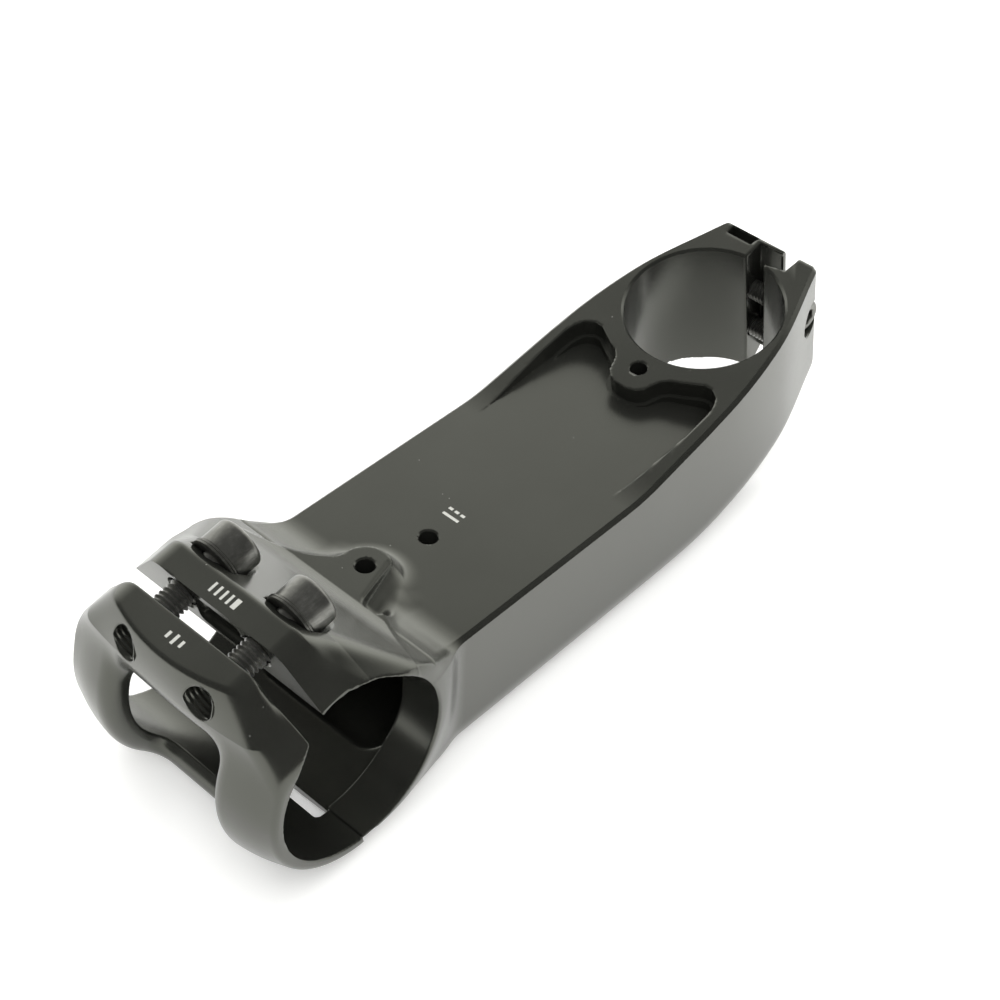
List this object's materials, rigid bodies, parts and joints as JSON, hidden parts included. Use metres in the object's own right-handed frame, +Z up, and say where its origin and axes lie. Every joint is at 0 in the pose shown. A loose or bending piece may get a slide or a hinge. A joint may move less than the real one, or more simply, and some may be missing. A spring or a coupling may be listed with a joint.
{
  "type": "bicycle handlebar stem",
  "caption": "Threadless handlebar stem: split steerer clamp, hollow neck and a screwed faceplate that closes the handlebar clamp.",
  "frame": {"origin": "middle of the steerer clamp bore, on its axis", "axes": "+X from the steerer clamp to the handlebar clamp, +Y along the handlebar axis to the left of +X, +Z up from the smooth face that the stem lies on; the steerer axis leans 12 degrees from +Z towards +X"},
  "size_m": [0.1526, 0.0456, 0.0463],
  "materials": {
    "black_alloy": "satin black anodised",
    "dark_steel": "blackened steel, lightly scratched",
    "washer_steel": "blackened steel"
  },
  "bodies": {
    "stem": {"stem_body": "black_alloy"},
    "faceplate": {"faceplate": "black_alloy"},
    "clamp_screw_right": {"clamp_screw_right": "dark_steel", "washer_right": "washer_steel"},
    "clamp_screw_left": {"clamp_screw_left": "dark_steel", "washer_left": "washer_steel"},
    "pinch_screw_upper": {"pinch_screw_upper": "dark_steel"},
    "pinch_screw_lower": {"pinch_screw_lower": "dark_steel"}
  },
  "joints": [
    {"name": "clamp_screw_right_turn", "type": "hinge", "parent": "stem", "child": "clamp_screw_right", "pos_m": [0.10939, -0.008, 0.02119], "axis": [-0.9781, 0, 0.2079], "range_deg": [0, 1800.1]},
    {"name": "clamp_screw_left_turn", "type": "hinge", "parent": "stem", "child": "clamp_screw_left", "pos_m": [0.10939, 0.008, 0.02119], "axis": [-0.9781, 0, 0.2079], "range_deg": [0, 1800.1]},
    {"name": "faceplate_slide", "type": "slide", "parent": "stem", "child": "faceplate", "axis": [0.9781, 0, -0.2079], "range_m": [0, 0.004]},
    {"name": "pinch_screw_upper_turn", "type": "hinge", "parent": "stem", "child": "pinch_screw_upper", "pos_m": [-0.0154, 0.0066, 0.00787], "axis": [0, 1, 0], "range_deg": [0, 360]},
    {"name": "pinch_screw_lower_turn", "type": "hinge", "parent": "stem", "child": "pinch_screw_lower", "pos_m": [-0.01748, -0.0066, -0.00191], "axis": [0, -1, 0], "range_deg": [0, 360]}
  ],
  "couplings": [
    {"joint": "clamp_screw_right_turn", "follows": "faceplate_slide", "rad_per_m": 7854},
    {"joint": "clamp_screw_left_turn", "follows": "faceplate_slide", "rad_per_m": 7854}
  ]
}
